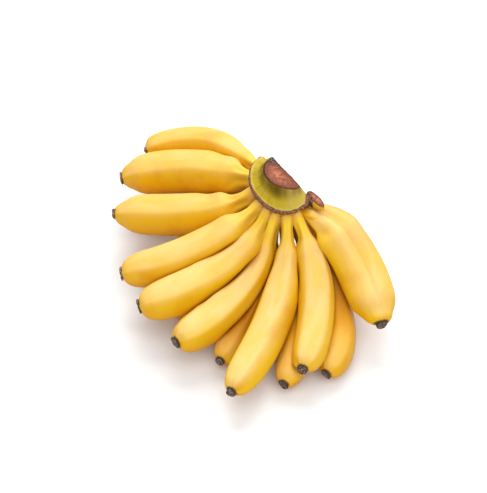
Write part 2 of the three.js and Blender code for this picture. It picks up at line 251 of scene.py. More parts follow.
# Deeper orange: in random patches, on riper skin, and as painted shade.
RIPE_DEEP_AND_SHADE = (0.63, 0.26, 0.002)
UNDERSIDE_SHADE = (0.62, 0.23, 0.002)
SHADED = (0.40, 0.14, 0.002)
GREENISH = (0.84, 0.57, 0.045)
PEDICEL_BASE = (0.74, 0.42, 0.12)
TAN_SMUDGE = (0.55, 0.30, 0.06)
BRUISE_BROWN = (0.16, 0.065, 0.018)
CREASE_SHADE = (0.42, 0.17, 0.018)
FLOWER_DARK = (0.034, 0.018, 0.012)
FLOWER_BROWN = (0.13, 0.085, 0.06)
FLOWER_ASH = (0.50, 0.40, 0.33)
FLOWER_TAN = (0.36, 0.26, 0.20)
NUB_GREY = (0.25, 0.22, 0.18)
COLLAR_GREEN = (0.15, 0.10, 0.005)
COLLAR_YELLOW = (0.44, 0.31, 0.014)
# Pale flesh, also used as painted light towards the twin.
COLLAR_PALE_AND_LIT = (0.60, 0.46, 0.12)
COLLAR_OLIVE = (0.11, 0.06, 0.002)
CUT_BROWN = (0.19, 0.06, 0.035)
CUT_ORANGE = (0.45, 0.165, 0.09)
CUT_PINK = (0.44, 0.21, 0.17)
CUT_EDGE = (0.05, 0.026, 0.02)
RIM_BROWN = (0.26, 0.12, 0.07)
RIM_DARK = (0.09, 0.036, 0.014)
RIM_FLECK = (0.60, 0.42, 0.34)
FLOOR_PALE = (0.80, 0.80, 0.80)
FLOOR_PALER = (0.81, 0.81, 0.81)
WHITE = (1, 1, 1)
DAYLIGHT = (0.99, 0.995, 1)


# ---- helpers for points ----


def noise(points, size, seed):
    """Smooth random values from -1 to 1 that change over about a size."""
    cells = 32
    lattice = np.random.default_rng(seed).uniform(-1, 1, (cells, cells, cells))
    scaled = points / size
    cell = np.floor(scaled).astype(int)
    part = scaled - cell
    part = part * part * (3 - 2 * part)
    total = np.zeros(points.shape[:-1])
    for corner in itertools.product((0, 1), repeat=3):
        share = np.prod(np.where(corner, part, 1 - part), axis=-1)
        x, y, z = np.moveaxis((cell + corner) % cells, -1, 0)
        total += share * lattice[x, y, z]
    return total


def rough(points, grains):
    """Random relief made of grains."""
    return sum(depth * noise(points, size, seed) for depth, size, seed in grains)


def fade(value, start, end):
    """0 up to start, 1 from end on, and smooth between."""
    share = np.clip((value - start) / (end - start), 0, 1)
    return share * share * (3 - 2 * share)


def bell(value, middle, reach, power=2):
    """1 at a middle, and falling to 0 beyond a reach. A higher power has a flatter top."""
    return np.exp(-(((value - middle) / reach) ** power))


def turns(count, offset=0.0):
    """Directions once round a circle, in radians."""
    return 2 * math.pi * (np.arange(count) + offset) / count


def on_tube(radius, angle, along):
    """Points round the last axis, at a radius and an angle, and so far along it."""
    return np.stack([radius * np.cos(angle), radius * np.sin(angle), along], axis=-1)


def unit(vectors):
    return vectors / np.linalg.norm(vectors, axis=-1, keepdims=True)


def spline_weights(count, places, closed):
    """The matrix that takes values at 0, 1, ... count - 1 to a cubic spline's values at places."""
    next_one = np.eye(count, k=1)
    if closed:
        next_one[-1, 0] = 1
    beside = next_one + next_one.T
    system = 4 * np.eye(count) + beside
    bend = 6 * (beside - 2 * np.eye(count))
    if not closed:
        system[[0, -1]] = np.eye(count)[[0, -1]]
        bend[[0, -1]] = 0
    curvature = np.linalg.solve(system, bend)
    first = np.floor(places).astype(int)
    if not closed:
        first = np.minimum(first, count - 2)
    second = (first + 1) % count
    part = (places - first)[:, None]
    rest = 1 - part
    straight = rest * np.eye(count)[first] + part * np.eye(count)[second]
    curved = (rest**3 - rest) * curvature[first] + (part**3 - part) * curvature[second]
    return straight + curved / 6


def normals(rings):
    """Outward directions at the points of rings that run once round a closed shape."""
    along = np.gradient(rings, axis=0)
    around = np.roll(rings, -1, axis=1) - np.roll(rings, 1, axis=1)
    out = unit(np.cross(around, along))
    middle = rings.mean(axis=1, keepdims=True)
    return out * np.sign(np.sum(out * (rings - middle)))


# ---- helpers for meshes ----


def tube_object(name, rings, start, end, marks):
    """A closed mesh through rings of points, with one more point to close each end."""
    ring_count, line_count, _ = rings.shape
    index = np.arange(ring_count * line_count).reshape(ring_count, line_count)
    turned = np.roll(index, -1, axis=1)
    quads = np.stack([index[:-1], turned[:-1], turned[1:], index[1:]], axis=-1).reshape(-1, 4)
    start_index = index.size
    end_index = index.size + 1
    start_fan = [(start_index, b, a) for a, b in zip(index[0], turned[0])]
    end_fan = [(end_index, a, b) for a, b in zip(index[-1], turned[-1])]
    faces = quads.tolist() + start_fan + end_fan
    points = np.vstack([rings.reshape(-1, 3), start, end])
    mesh = bpy.data.meshes.new(name)
    mesh.from_pydata(points.tolist(), [], [[int(i) for i in face] for face in faces])
    mesh.shade_smooth()
    for mark, values in marks.items():
        add_mark(mesh, mark, values)
    turn_faces_out(mesh)
    made = bpy.data.objects.new(name, mesh)
    bpy.context.scene.collection.objects.link(made)
    return made


def add_mark(mesh, name, values):
    """Keeps a number or a vector for each point of the rings, for the materials to read."""
    kind, field = ("FLOAT_VECTOR", "vector") if values.ndim == 3 else ("FLOAT", "value")
    flat = values.reshape(-1, 3) if values.ndim == 3 else values.reshape(-1)
    ends = [values[0].mean(axis=0), values[-1].mean(axis=0)]
    whole = np.concatenate([flat, ends]).astype(np.float32)
    mesh.attributes.new(name, kind, "POINT").data.foreach_set(field, whole.ravel())


def turn_faces_out(mesh):
    made = bmesh.new()
    made.from_mesh(mesh)
    if made.calc_volume(signed=True) < 0:
        bmesh.ops.reverse_faces(made, faces=made.faces)
    made.to_mesh(mesh)
    made.free()


def dress(piece, material, slot, *nodes):
    """Gives a piece its material and its place in the frame."""
    piece.data.materials.append(material)
    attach(piece, "root")
    if nodes:
        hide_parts(*nodes)


def welded(node):
    """A CAD node's corners, each once, and the corners that share an edge with each."""
    mesh = bmesh.new()
    mesh.from_mesh(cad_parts[node].data)
    bmesh.ops.remove_doubles(mesh, verts=mesh.verts, dist=WELD)
    places = np.array([corner.co for corner in mesh.verts])
    beside = [{edge.other_vert(corner).index for edge in corner.link_edges} for corner in mesh.verts]
    mesh.free()
    return places, beside


# ---- materials ----


class Paint:
    """A material under construction, with short calls for the nodes that it is made of."""

    def __init__(self, name):
        self.material = bpy.data.materials.new(name)
        self.material.use_nodes = True
        self.tree = self.material.node_tree
        self.shader = self.tree.nodes["Principled BSDF"]

    def node(self, kind, inputs, output=0, **settings):
        """Adds a node and returns one of its outputs. inputs gives sockets a value or a link."""
        made = self.tree.nodes.new(kind)
        for name, value in settings.items():
            setattr(made, name, value)
        for socket, value in inputs.items():
            self.set(made.inputs[socket], value)
        return made.outputs[output]

    def set(self, socket, value):
        if isinstance(value, bpy.types.NodeSocket):
            self.tree.links.new(value, socket)
        elif isinstance(value, tuple) and socket.type == "RGBA":
            socket.default_value = (*value, 1)
        else:
            socket.default_value = value

    def mark(self, name, vector=False):
        output = "Vector" if vector else "Fac"
        return self.node("ShaderNodeAttribute", {}, output, attribute_name=name)

    def maths(self, operation, *values):
        inputs = dict(enumerate(values))
        return self.node("ShaderNodeMath", inputs, operation=operation)

    def times(self, *values):
        product = values[0]
        for value in values[1:]:
            product = self.maths("MULTIPLY", product, value)
        return product

    def between(self, value, start, end, low=0.0, high=1.0):
        """low where the value is at start, high where it is at end, and smooth between."""
        inputs = {"Value": value, "From Min": start, "From Max": end, "To Min": low, "To Max": high}
        return self.node("ShaderNodeMapRange", inputs, interpolation_type="SMOOTHSTEP")

    def mix(self, share, first, second):
        inputs = {0: share, 6: first, 7: second}
        return self.node("ShaderNodeMix", inputs, 2, data_type="RGBA")

    def stretched(self, place, lengthwise):
        """A place whose last coordinate is shrunk, so that patterns run along it."""
        inputs = {0: place, 1: (1, 1, lengthwise)}
        return self.node("ShaderNodeVectorMath", inputs, operation="MULTIPLY")

    def noise(self, place, size, detail=2.0):
        """Values from 0 to 1, mostly near a half, that change over about a size."""
        inputs = {"Vector": place, "Scale": 1 / size, "Detail": detail}
        return self.node("ShaderNodeTexNoise", inputs)

    def patches(self, place, size, detail, start, end, low=0.0, high=1.0):
        """Soft-edged patches: low where the noise is at start, and high where it is at end."""
        return self.between(self.noise(place, size, detail), start, end, low, high)

    def dots(self, place, size):
        """The distance to the nearest of points that lie about a size apart, in that size."""
        inputs = {"Vector": place, "Scale": 1 / size}
        return self.node("ShaderNodeTexVoronoi", inputs, "Distance")

    def bump(self, height, depth):
        inputs = {"Height": height, "Distance": depth, "Strength": 1.0}
        return self.node("ShaderNodeBump", inputs)

    def finish(self, **sockets):
        names = {name.replace(" ", "_").lower(): name for name in self.shader.inputs.keys()}
        for name, value in sockets.items():
            self.set(self.shader.inputs[names[name]], value)
        return self.material


def peel_colour(paint, place):
    """Yellow, riper and deeper in places, with a painted highlight where the skin faces up, painted
    shade where it faces down, under the upper row, along the twin's groove and between the necks, and
    greener at the neck."""
    from_root = paint.mark("root_mm")
    long_place = paint.stretched(place, 0.3)
    colour = paint.mix(paint.patches(long_place, 14 * MM, 2, 0.42, 0.7, 0, 0.08), RIPE, RIPE_PALE_AND_HIGHLIGHT)
    colour = paint.mix(paint.patches(place, 26 * MM, 3, 0.45, 0.75, 0, 0.6), colour, RIPE_DEEP_AND_SHADE)
    # Deeper orange for ripeness, which also paints shade, mostly on the lower row.
    colour = paint.mix(paint.times(paint.mark("ripe_and_shaded"), 0.85), colour, RIPE_DEEP_AND_SHADE)
    # A painted highlight: paler skin where it faces up, broken into patches, and less of it on riper
    # and shaded skin.
    painted_sheen = paint.patches(long_place, 9 * MM, 2, 0.3, 0.7, 0.5, 0.9)
    colour = paint.mix(paint.times(paint.mark("top_highlight"), painted_sheen), colour, RIPE_PALE_AND_HIGHLIGHT)
    # Painted shade where the skin faces down.
    colour = paint.mix(paint.times(paint.mark("downwards"), 0.75), colour, UNDERSIDE_SHADE)
    # Painted shade along the bottom of the twin's groove.
    colour = paint.mix(paint.times(paint.mark("groove"), 0.35), colour, RIPE_DEEP_AND_SHADE)
    # Painted shade on the lower fingers, under the upper row.
    colour = paint.mix(paint.times(paint.mark("shaded"), 0.85), colour, SHADED)
    # Less green at the neck where the skin is riper or painted as shaded.
    unripe_unshaded = paint.maths("SUBTRACT", 1.0, paint.mark("ripe_and_shaded"))
    neck = paint.times(paint.between(from_root, 34, 8, 0, 1.6), unripe_unshaded)
    colour = paint.mix(paint.times(neck, paint.noise(long_place, 9 * MM)), colour, GREENISH)
    colour = paint.mix(paint.between(from_root, 5, 0.5, 0, 0.6), colour, PEDICEL_BASE)
    # Painted shade in the crevices where the necks press together.
    return paint.mix(paint.times(paint.mark("crevice_shade"), 0.5), colour, CREASE_SHADE)


def peel_flaws(paint, place, colour):
    """Smudges, worn ridges, scratches, specks, and the brown edge of the skin at the tip."""
    colour = paint.mix(paint.patches(place, 7 * MM, 4, 0.6, 0.75, 0, 0.18), colour, TAN_SMUDGE)
    crest_wear = paint.times(paint.mark("crest"), paint.noise(place, 5 * MM, 3), 0.12)
    colour = paint.mix(crest_wear, colour, TAN_SMUDGE)
    scratch = paint.patches(paint.stretched(place, 0.06), 1.3 * MM, 2, 0.68, 0.76, 0, 0.2)
    scratch = paint.times(scratch, paint.patches(place, 12 * MM, 2, 0.5, 0.62))
    colour = paint.mix(scratch, colour, BRUISE_BROWN)
    speck = paint.between(paint.dots(place, 5 * MM), 0.08, 0.04, 0, 0.35)
    speck = paint.times(speck, paint.patches(place, 16 * MM, 2, 0.5, 0.6))
    colour = paint.mix(speck, colour, BRUISE_BROWN)
    tip_edge = paint.maths("ADD", paint.mark("tip_mm"), paint.times(paint.noise(place, 3 * MM), 2.0))
    return paint.mix(paint.between(tip_edge, 2.6, 1.2, 0, 0.8), colour, BRUISE_BROWN)


def peel_material():
    paint = Paint("banana_peel")
    place = paint.mark("skin_place", vector=True)
    fibres = paint.noise(paint.stretched(place, 0.12), 0.9 * MM, 3)
    pores = paint.noise(place, 0.5 * MM, 2)
    relief = paint.maths("ADD", fibres, paint.times(pores, 0.5))
    return paint.finish(
        base_color=peel_flaws(paint, place, peel_colour(paint, place)),
        roughness=paint.patches(place, 6 * MM, 3, 0.3, 0.7, 0.36, 0.5),
        normal=paint.bump(relief, 0.03 * MM),
        specular_ior_level=0.12,
        subsurface_weight=0.12,
        subsurface_radius=(1.0, 0.55, 0.12),
        subsurface_scale=2.5 * MM,
    )


def flower_material():
    """Nearly black, ashen inside its rim, and tan where it has weathered."""
    paint = Paint("dried_flower")
    place = paint.mark("flower_place", vector=True)
    inner = paint.mark("inner")
    colour = paint.mix(paint.patches(place, 2.4 * MM, 4, 0.4, 0.6), FLOWER_DARK, FLOWER_BROWN)
    ash = paint.patches(paint.stretched(place, 0.3), 2.0 * MM, 4, 0.48, 0.62)
    colour = paint.mix(paint.times(ash, paint.between(inner, 0.12, 0.3, 0.1, 0.36)), colour, FLOWER_ASH)
    colour = paint.mix(paint.times(paint.between(inner, 0.2, 0.1), 0.85), colour, FLOWER_DARK)
    weathered = paint.patches(place, 1.7 * MM, 3, 0.4, 0.58, 0.15, 0.9)
    colour = paint.mix(paint.times(paint.mark("ashen"), weathered), colour, FLOWER_TAN)
    relief = paint.noise(place, 0.5 * MM, 5)
    return paint.finish(base_color=colour, roughness=0.85, normal=paint.bump(relief, 0.35 * MM))


def cut_colour(paint, place):
    """The dried flesh where the knife went: brown, more orange inside, with pale pink flecks, and a
    dark outline that painted shade makes heavier away from the twin.
    """
    edge = paint.mark("cut_edge")
    blotch = paint.noise(place, 4 * MM, 4)
    warm = paint.times(paint.between(edge, 0.15, 0.85), paint.between(blotch, 0.35, 0.6))
    colour = paint.mix(warm, CUT_BROWN, CUT_ORANGE)
    colour = paint.mix(paint.patches(place, 1.1 * MM, 3, 0.56, 0.7, 0, 0.6), colour, CUT_PINK)
    colour = paint.mix(paint.patches(place, 1.6 * MM, 3, 0.46, 0.3, 0, 0.7), colour, RIM_BROWN)
    outline = paint.between(paint.maths("ADD", edge, paint.times(blotch, 0.05)), 0.14, 0.05)
    # The dark outline is heavier away from the twin, which paints shade on that side of the cut.
    outline = paint.times(outline, paint.between(paint.mark("turn"), 1.2, -0.4, 0.45, 1.0))
    return paint.mix(outline, colour, CUT_EDGE)


def rim_colour(paint, place):
    """The scar round the crown: purple-brown bark, with pale flecks towards the twin."""
    colour = paint.mix(paint.patches(place, 1.0 * MM, 4, 0.42, 0.6), RIM_BROWN, RIM_DARK)
    fleck = paint.patches(place, 1.3 * MM, 4, 0.57, 0.68, 0, 0.85)
    fleck = paint.times(fleck, paint.between(paint.mark("turn"), 0.8, 1.6, 0.12, 0.9))
    return paint.mix(fleck, colour, RIM_FLECK)


def collar_colour(paint):
    """The living flesh between the stump and the scar: green to yellow, streaked downwards, with
    painted shade on its fronts and away from the twin, and painted light towards the twin.
    """
    around = paint.mark("around_place", vector=True)
    slope = paint.mark("slope")
    turn = paint.mark("turn")
    colour = paint.mix(paint.between(slope, 0.1, 0.8), COLLAR_GREEN, COLLAR_YELLOW)
    broad = paint.noise(paint.stretched(around, 0.3), 7 * MM, 2)
    colour = paint.mix(paint.between(broad, 0.4, 0.7, 0, 0.6), colour, COLLAR_YELLOW)
    streak = paint.patches(paint.stretched(around, 0.2), 2.6 * MM, 3, 0.45, 0.75)
    # More olive streaks at the front and away from the twin, which also paints shade on that side.
    streak = paint.times(streak, paint.between(turn, 0.9, 0.0, 0.2, 0.5))
    colour = paint.mix(streak, colour, COLLAR_OLIVE)
    pale = paint.patches(paint.stretched(around, 0.12), 2.5 * MM, 2, 0.5, 0.75)
    colour = paint.mix(paint.times(pale, 0.3), colour, COLLAR_PALE_AND_LIT)
    # Painted shade on the collar's fronts, below the cut.
    shade = paint.times(paint.mark("front"), paint.between(slope, 0.8, 0.12, 0, 0.9))
    colour = paint.mix(shade, colour, COLLAR_OLIVE)
    # Painted light on the side towards the twin.
    colour = paint.mix(paint.between(turn, 1.0, 1.6, 0, 0.4), colour, COLLAR_PALE_AND_LIT)
    edge = paint.times(paint.between(slope, 0.86, 0.99), paint.between(broad, 0.3, 0.65, 0.15, 0.6))
    return paint.mix(edge, colour, COLLAR_PALE_AND_LIT)


def under_colour(paint, place):
    """The skin below the scar: as yellow as the fingers' where one starts, with painted shade between
    them.
    """
    ripe = paint.mix(paint.patches(place, 3 * MM, 3, 0.4, 0.7, 0, 0.4), RIPE, PEDICEL_BASE)
    return paint.mix(paint.mark("crease_shade"), ripe, CREASE_SHADE)


def crown_material():
    paint = Paint("crown_flesh")
    place = paint.mark("crown_place", vector=True)
    cut = paint.mark("cut")
    rim = paint.mark("rim")
    below = paint.between(paint.mark("under"), 0, 0.1)
    colour = paint.mix(below, collar_colour(paint), under_colour(paint, place))
    ragged_rim = paint.maths("ADD", rim, paint.times(paint.noise(place, 2 * MM, 3), 0.5))
    colour = paint.mix(paint.between(ragged_rim, 0.6, 0.75), colour, rim_colour(paint, place))
    colour = paint.mix(cut, colour, cut_colour(paint, place))
    nub = paint.mix(paint.patches(place, 1 * MM, 4, 0.4, 0.65), FLOWER_DARK, NUB_GREY)
    colour = paint.mix(paint.mark("nub"), colour, nub)
    bare = paint.maths("MAXIMUM", cut, rim)
    relief = paint.times(paint.noise(place, 0.8 * MM, 4), paint.between(bare, 0, 1, 0.12, 1.0))
    return paint.finish(
        base_color=colour,
        roughness=paint.between(bare, 0, 1, 0.48, 0.85),
        normal=paint.bump(relief, 0.35 * MM),
        specular_ior_level=0.08,
        subsurface_weight=0.05,
        subsurface_radius=(1.0, 0.6, 0.2),
        subsurface_scale=1.5 * MM,
    )


def floor_material():
    paint = Paint("pale_floor")
    place = paint.node("ShaderNodeTexCoord", {}, "Object")
    colour = paint.mix(paint.patches(place, 0.8, 2, 0.3, 0.7), FLOOR_PALE, FLOOR_PALER)
    return paint.finish(base_color=colour, roughness=0.9)


# ---- fingers ----


def round_order(members, beside):
    """The corners of a ring in order round it."""
    order = [min(members)]
    while len(order) < len(members):
        order.append(min(i for i in beside[order[-1]] if i in members and i not in order))
    return order


def next_ring(ring, beside, seen, places):
    """The ring of corners beyond one, in step with it."""
    pairs = zip(ring, ring[1:] + ring[:1])
    found = [(beside[a] & beside[b] - seen).pop() for a, b in pairs]
    turned = found[-1:] + found[:-1]
    return min(found, turned, key=lambda option: np.sum((places[option] - places[ring]) ** 2))


def finger_grid(name):
    """A CAD finger's corners as rings from root to tip. Each ring starts on the top ridge."""
    places, beside = welded("finger_" + name)
    flower = np.mean(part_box("blossom_" + name), axis=0)
    poles = [i for i, near in enumerate(beside) if len(near) == FINGER_LINES]
    tip = min(poles, key=lambda i: np.linalg.norm(places[i] - flower))
    rings = [round_order(beside[tip], beside)]
    seen = {tip, *rings[0]}
    while len(rings) < FINGER_RINGS:
        rings.append(next_ring(rings[-1], beside, seen, places))
        seen.update(rings[-1])
    grid = places[np.array(rings[::-1])]
    return np.roll(grid, -top_ridge(grid), axis=1)


def top_ridge(grid):
    """Which line of a finger runs along its highest ridge. Ridges stand out the most."""
    body = grid[FINGER_RINGS // 3 : -FINGER_RINGS // 4]
    out = np.linalg.norm(body - body.mean(axis=1, keepdims=True), axis=-1).mean(axis=0)
    phase = max(range(LINES_PER_RIDGE), key=lambda i: out[i::LINES_PER_RIDGE].mean())
    heights = body[..., 2].mean(axis=0)
    return max(range(phase, FINGER_LINES, LINES_PER_RIDGE), key=lambda i: heights[i])


def peel_rings(grid):
    """A finger's skin as smooth fine rings, carried on into the crown at its root."""
    along = spline_weights(FINGER_RINGS, np.linspace(0, FINGER_RINGS - 1, PEEL_RINGS), False)
    lines = np.arange(PEEL_LINES) * FINGER_LINES / PEEL_LINES
    around = spline_weights(FINGER_LINES, lines, True)
    rings = np.einsum("ar,rlk,bl->abk", along, grid, around)
    inwards = unit((rings[0] - rings[2]).mean(axis=0))
    depths = np.linspace(ROOT_DEPTH, 0, ROOT_STEPS, endpoint=False)
    root = rings[0] + inwards * depths[:, None, None]
    return np.concatenate([root, rings])


def skin_grid(rings):
    """How far each point of a finger's skin is from its root, and its angle from the top ridge."""
    steps = np.linalg.norm(np.diff(rings, axis=0), axis=-1).mean(axis=1)
    from_root = np.concatenate([[0], np.cumsum(steps)]) - ROOT_DEPTH
    return np.meshgrid(from_root, turns(PEEL_LINES), indexing="ij")


def skin_place(root, angle, seed):
    """The skin laid out on a plain tube, where its random patterns are read."""
    return on_tube(SKIN_RADIUS, angle, root) + np.random.default_rng(seed).uniform(0, 1, 3)


def peel_relief(place, crest_wave, root, tip, seed):
    """How far any finger's skin stands out from the CAD finger's."""
    body = fade(root, *BODY_RANGE)
    crest = np.maximum(crest_wave, 0) ** 4 - VALLEY_SHARE
    ridges = RIDGE_SHARPENING * body * crest
    pedicel = PEDICEL_RIDGES * (1 - body) * fade(root, *PEDICEL_RIDGE_RANGE) * crest_wave
    shape = sum(rise * bell(root, where, reach) for rise, where, reach in NECK_SHAPE)
    dents = sum(
        depth * noise(place * (1, 1, lengthwise), size, seed + number)
        for number, (depth, size, lengthwise) in enumerate(PEEL_GRAINS)
    )
    wander = noise(place, TIP_PUCKER_SIZE, seed + 2) - TIP_PUCKER_LEVEL
    pucker = TIP_PUCKERS * np.exp(-tip / TIP_PUCKER_REACH) * wander
    shape -= TIP_TAPER * np.exp(-tip / TIP_TAPER_REACH)
    return ridges + pedicel + shape + dents * fade(tip, *SMOOTH_TIP_RANGE) + pucker


def own_relief(name, root, tip, angle):
    """How far one finger's skin differs from the others': fuller, slimmer or pinched."""
    body = fade(root, *PLUMP_ROOT_RANGE) * fade(tip, *PLUMP_TIP_RANGE)
    relief = PLUMP.get(name, 0) * body
    relief -= SLIM_ENDS.get(name, 0) * bell(tip, SLIM_END_PLACE, SLIM_END_REACH)
    for side, depth in zip((1, -1), PINCHES.get(name, (0, 0))):
        beside_ridge = fade(side * np.sin(angle), *PINCH_SIDE_RANGE)
        relief -= depth * MM * bell(root, PINCH_PLACE, PINCH_REACH) * beside_ridge
    return relief


def groove_away(angle):
    """How far round the twin a point is from its groove, in radians."""
    return (angle - TWIN_GROOVE_PLACE + math.pi) % (2 * math.pi) - math.pi


def twin_relief(angle, share):
    """The groove between the two fingers of the twin, which turns into a low ridge near its tip."""
    across = bell(groove_away(angle), 0, TWIN_GROOVE_REACH)
    ridge = TWIN_RIDGE * fade(share, *TWIN_RIDGE_RANGE)
    return across * (ridge - TWIN_GROOVE * fade(share, *TWIN_GROOVE_RANGE))


def ripe_and_shaded_share(name, tip):
    """How ripe each point of a finger's skin is painted, which also paints shade: least near the twin,
    and on the lower row deepest away from the tip, under the upper row.
    """
    row, number = name.split("_")
    most, *numbers = RIPENESS_AND_SHADE[row]
    at_tip = SHADE_AT_TIP if row == "lower" else 1
    from_tip = at_tip + (1 - at_tip) * fade(tip, *SHADE_TIP_RANGE)
    return most * fade(int(number), *numbers) * from_tip


def peel_marks(name, out, place, crest_wave, root, tip, angle):
    """What the peel's material reads at each point."""
    is_twin = name == TWIN
    ripe_and_shaded = ripe_and_shaded_share(name, tip)
    shade_start = SHADE_STARTS.get(name, SHADE_START)
    groove_shade = bell(groove_away(angle), 0, TWIN_GROOVE_LINE)
    groove_shade *= fade(root / root.max(), *TWIN_GROOVE_LINE_RANGE)
    painted_sheen = np.maximum(0, 1 - SHEEN_DULLING * ripe_and_shaded)
    beside_ridge = fade(np.abs(np.sin(angle)), *CREVICE_SIDE_RANGE)
    return {
        "skin_place": place,
        "root_mm": root / MM + TWIN_HEAD_START * is_twin,
        "tip_mm": tip / MM,
        "crest": np.maximum(crest_wave, 0) ** 8,
        # Masks for the painted highlight on top and the painted shade below.
        "top_highlight": fade(out[..., 2], *UPWARDS_RANGE) * painted_sheen,
        "downwards": fade(-out[..., 2], *DOWNWARDS_RANGE),
        "ripe_and_shaded": ripe_and_shaded,
        "groove": groove_shade * is_twin,
        "crevice_shade": beside_ridge * bell(root, CREVICE_PLACE, CREVICE_REACH),
        "shaded": fade(tip, shade_start, shade_start + SHADE_REACH) * name.startswith("lower"),
    }


def make_finger(name, seed, material):
    rings = peel_rings(finger_grid(name))
    root, angle = skin_grid(rings)
    tip = root.max() - root
    place = skin_place(root, angle, seed)
    crest_wave = np.cos(FINGER_LINES // LINES_PER_RIDGE * angle)
    out = normals(rings)
    relief = peel_relief(place, crest_wave, root, tip, seed) + own_relief(name, root, tip, angle)
    if name == TWIN:
        relief += twin_relief(angle, root / root.max())
    rings += out * relief[..., None]
    rings[..., 2] = np.maximum(rings[..., 2], FLOOR_GAP)
    marks = peel_marks(name, out, place, crest_wave, root, tip, angle)
    ends = rings[0].mean(axis=0), rings[-1].mean(axis=0)
    peel = tube_object("peel_" + name, rings, *ends, marks)
    dress(peel, material, "banana_skin", "finger_" + name)


# ---- dried flowers ----


def blossom_seat(name):
    """The middle of a finger's end, the direction that it points in, and the flower's radius."""
    middle = welded("blossom_" + name)[0].mean(axis=0)
    fruit, _ = welded("finger_" + name)
    near = fruit[np.argsort(np.linalg.norm(fruit - middle, axis=1))[: FINGER_LINES + 1]]
    base = near.mean(axis=0)
    radius = np.linalg.norm(near - base, axis=1).mean() * BLOSSOM_SHARE
    return base, unit(middle - base), radius


def blossom_shape(radius, seed):
    """A thick collar round the stub of the flower's style, lying on its base. Also each ring's
    share of the way in from the edge."""
    count = len(BLOSSOM_PROFILE)
    fine = np.linspace(0, count - 1, BLOSSOM_FINENESS * count)
    profile = spline_weights(count, fine, False) @ BLOSSOM_PROFILE
    reach = profile[:, 0, None] * radius
    height = profile[:, 1, None] * BLOSSOM_STEP
    angle = turns(BLOSSOM_LINES)
    lean = np.random.default_rng(seed).uniform(0, math.pi)
    oval = 1 + BLOSSOM_OVAL * np.cos(2 * (angle - lean))
    shape = on_tube(reach * oval, angle, height * np.ones_like(angle))
    wave = noise(shape * (1, 1, 0.3) + seed, BLOSSOM_FOLD_SIZE, seed)
    grit = noise(shape + seed, BLOSSOM_GRIT_SIZE, seed + 1)
    edge = unit(shape * (1, 1, 0)) * BLOSSOM_RAG_RADIUS
    ragged = noise(edge + seed, BLOSSOM_RAG_SIZE, seed + 3)
    shape[..., :2] *= 1 + BLOSSOM_RAGGEDNESS * ragged[..., None]
    folds = BLOSSOM_ROUGHNESS * (1.2 * wave + 0.5 * grit)
    shape[..., 2] += folds * fade(height, *BLOSSOM_ROUGH_RANGE)
    shape[..., :2] *= 1 + BLOSSOM_GRIT * grit[..., None]
    inner = 1 - np.clip(reach / radius, 0, 1)
    return shape, inner * np.ones_like(angle)


def make_blossom(name, seed, material):
    base, out, radius = blossom_seat(name)
    side = unit(np.cross(out, (0, 0, 1)))
    shape, inner = blossom_shape(radius, seed)
    rings = base + shape @ np.array([side, np.cross(side, out), out])
    row, number = name.split("_")
    ashen = fade(int(number), *WEATHERED_NUMBERS) * (row == "upper")
    marks = {
        "flower_place": shape + seed * 0.01,
        "inner": inner,
        "ashen": np.full_like(inner, ashen),
    }
    start = base - out * BLOSSOM_DEPTH
    flower = tube_object("tip_" + name, rings, start, rings[-1].mean(axis=0), marks)
    dress(flower, material, "dried_flower", "blossom_" + name)


# ---- crown ----


def crown_frame():
    """The crown's own origin and directions: the middle of the stump's straight edge, forwards,
    along the edge to its lower end, and up from the cut face."""
    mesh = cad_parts["crown"].data
    top = max(corner.co.z for corner in mesh.vertices)
    face = [p for p in mesh.polygons if p.normal.z > CUT_FACE_RISE and p.center.z > top - CUT_FACE_DROP]
    up = unit(np.sum([p.area * np.array(p.normal) for p in face], axis=0))
    corners = [np.array(mesh.vertices[i].co) for p in face for i in p.vertices]
    pairs = itertools.combinations(corners, 2)
    ends = max(pairs, key=lambda pair: np.linalg.norm(pair[0] - pair[1]))
    high, low = sorted(ends, key=lambda corner: -corner[2])
    side = unit(low - high)
    return (high + low) / 2, np.array([np.cross(side, up), side, up])


def crown_levels(places):
    """The CAD crown's half-width, depth and height at each of its levels, from the top down."""
    half = places[(places[:, 0] > -LEVEL_SLACK) & (places[:, 1] < LEVEL_SLACK)]
    heights = np.unique(np.round(half[:, 2] / MM, 1)) * MM
    levels = []
    for height in heights[::-1]:
        level = half[np.abs(half[:, 2] - height) < LEVEL_HALF]
        levels.append((-level[:, 1].min(), level[:, 0].max(), height))
    return np.array(levels)


def back_plane(origin, axes):
    """Where the cut down the back starts at the top, and how far it leans for each step up."""
    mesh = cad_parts["crown"].data
    faces = [
        (np.array(p.normal) @ axes.T, (np.array(p.center) - origin) @ axes.T)
        for p in mesh.polygons
    ]
    back = [face for face in faces if face[0][0] < BACK_FACING and abs(face[0][1]) < BACK_SLANT]
    normal, centre = np.mean(back, axis=0)
    slope = -normal[2] / normal[0]
    return centre[0] - slope * centre[2], slope


def root_turns(origin, axes):
    """The turns round the crown, in radians, at which the upper fingers start."""
    found = []
    for name in FINGER_NAMES:
        if name.startswith("upper"):
            x, y, _ = (finger_grid(name)[0].mean(axis=0) - origin) @ axes.T
            found.append(math.atan2(y, x - TURN_CENTRE))
    return np.array(found)


def rounded(levels):
    """An outline's points again, close together and with its corners rounded."""
    steps = np.linalg.norm(np.diff(levels, axis=0), axis=1)
    place = np.concatenate([[0], np.cumsum(steps)])
    even = np.arange(0, place[-1], PROFILE_STEP)
    fine = np.stack([np.interp(even, place, column) for column in levels.T], axis=-1)
    reach = round(2 * CORNER_ROUNDING / PROFILE_STEP)
    padded = np.pad(fine, ((reach, reach), (0, 0)), mode="edge")
    kernel = np.hanning(2 * reach + 3)[1:-1]
    kernel /= kernel.sum()
    return np.stack([np.convolve(column, kernel, "valid") for column in padded.T], axis=-1)


